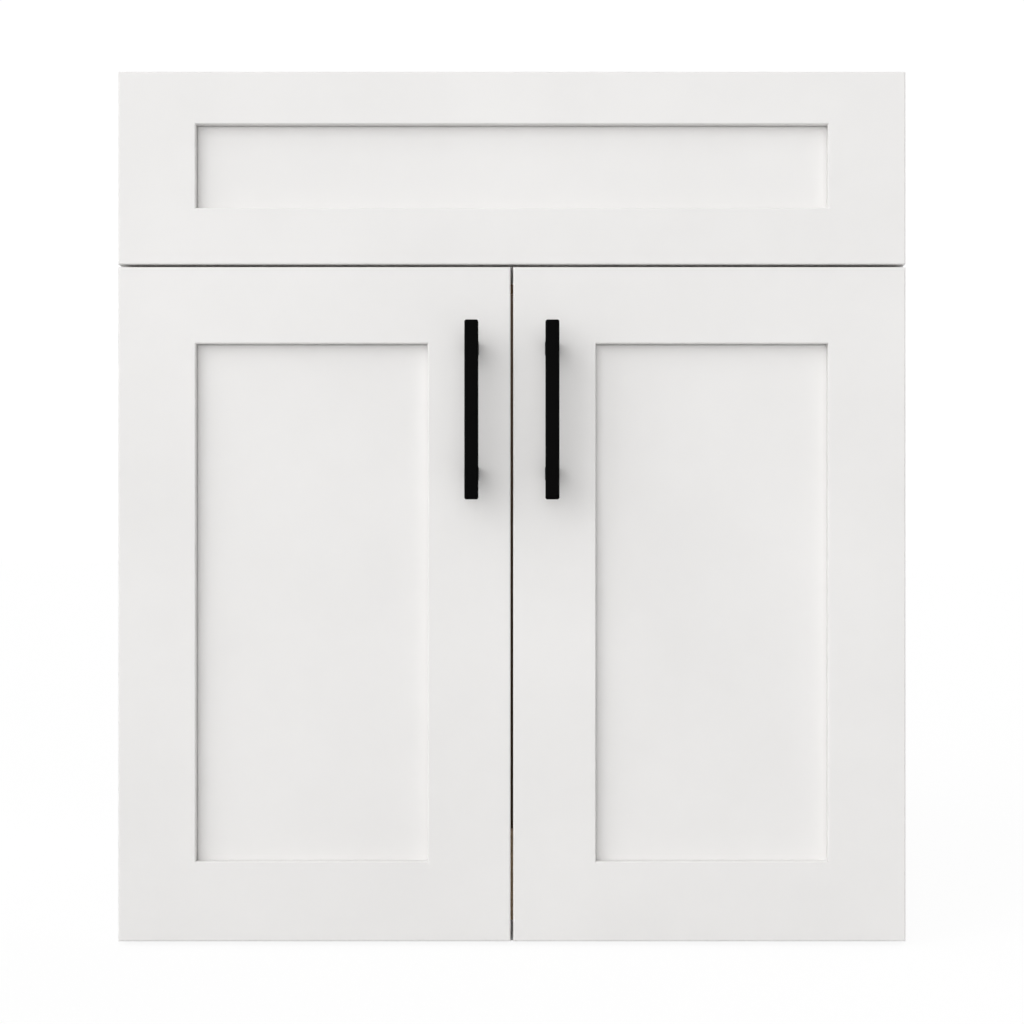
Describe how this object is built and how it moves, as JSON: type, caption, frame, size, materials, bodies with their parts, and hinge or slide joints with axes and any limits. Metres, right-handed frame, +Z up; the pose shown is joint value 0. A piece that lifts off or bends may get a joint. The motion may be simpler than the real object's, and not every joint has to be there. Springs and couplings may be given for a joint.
{
  "type": "bathroom vanity cabinet",
  "caption": "Wall-hung bathroom vanity base with a fixed framed front above two framed doors, bar handles, concealed hinges and an open top for a sink.",
  "frame": {"origin": "middle of the cabinet's footprint, handles included, level with its underside", "axes": "+X to the right seen from the front, +Y towards the wall behind, +Z up"},
  "size_m": [0.6096, 0.5894, 0.6731],
  "materials": {
    "white_paint": "satin white paint on hardwood frames and panels",
    "painted_plywood": "satin white paint outside, clear-coated birch inside",
    "birch_plywood": "clear-coated birch plywood",
    "hardboard": "tempered hardboard, smooth inside and screen-backed behind",
    "black_metal": "matte black powder coat",
    "nickel_steel": "nickel plate",
    "zinc_steel": "zinc plate",
    "screw_steel": "plated screw steel",
    "clear_bumper": "soft translucent polyurethane",
    "beech": "plain beech"
  },
  "bodies": {
    "cabinet": {"back_panel": "hardboard", "bottom_panel": "birch_plywood", "bracket_screws": "screw_steel", "cam_bolts": "zinc_steel", "cam_locks": "zinc_steel", "carcass_dowels": "beech", "corner_braces": "birch_plywood", "false_front_bottom_rail": "white_paint", "false_front_brackets": "zinc_steel", "false_front_left_stile": "white_paint", "false_front_panel": "white_paint", "false_front_right_stile": "white_paint", "false_front_top_rail": "white_paint", "left_hinge_adjusting_screws": "screw_steel", "left_hinge_plate_screws": "screw_steel", "left_lower_hinge_arm": "nickel_steel", "left_lower_hinge_plate": "nickel_steel", "left_side_panel": "painted_plywood", "left_upper_hinge_arm": "nickel_steel", "left_upper_hinge_plate": "nickel_steel", "lower_back_rail": "birch_plywood", "mid_rail": "birch_plywood", "right_hinge_adjusting_screws": "screw_steel", "right_hinge_plate_screws": "screw_steel", "right_lower_hinge_arm": "nickel_steel", "right_lower_hinge_plate": "nickel_steel", "right_side_panel": "painted_plywood", "right_upper_hinge_arm": "nickel_steel", "right_upper_hinge_plate": "nickel_steel", "top_front_rail": "birch_plywood", "upper_back_rail": "birch_plywood"},
    "left_door": {"left_door_bottom_rail": "white_paint", "left_door_bumpers": "clear_bumper", "left_door_inner_stile": "white_paint", "left_door_outer_stile": "white_paint", "left_door_panel": "white_paint", "left_door_top_rail": "white_paint", "left_handle_bar": "black_metal", "left_handle_posts": "black_metal", "left_handle_screws": "screw_steel", "left_hinge_cup_screws": "screw_steel", "left_hinge_pins": "nickel_steel", "left_lower_hinge_cup": "nickel_steel", "left_upper_hinge_cup": "nickel_steel"},
    "right_door": {"right_door_bottom_rail": "white_paint", "right_door_bumpers": "clear_bumper", "right_door_inner_stile": "white_paint", "right_door_outer_stile": "white_paint", "right_door_panel": "white_paint", "right_door_top_rail": "white_paint", "right_handle_bar": "black_metal", "right_handle_posts": "black_metal", "right_handle_screws": "screw_steel", "right_hinge_cup_screws": "screw_steel", "right_hinge_pins": "nickel_steel", "right_lower_hinge_cup": "nickel_steel", "right_upper_hinge_cup": "nickel_steel"}
  },
  "joints": [
    {"name": "left_door_swing", "type": "hinge", "parent": "cabinet", "child": "left_door", "pos_m": [-0.2958, -0.2517, 0.26295], "axis": [0, 0, -1], "range_deg": [0, 95]},
    {"name": "right_door_swing", "type": "hinge", "parent": "cabinet", "child": "right_door", "pos_m": [0.2958, -0.2517, 0.26295], "axis": [0, 0, 1], "range_deg": [0, 95]}
  ]
}
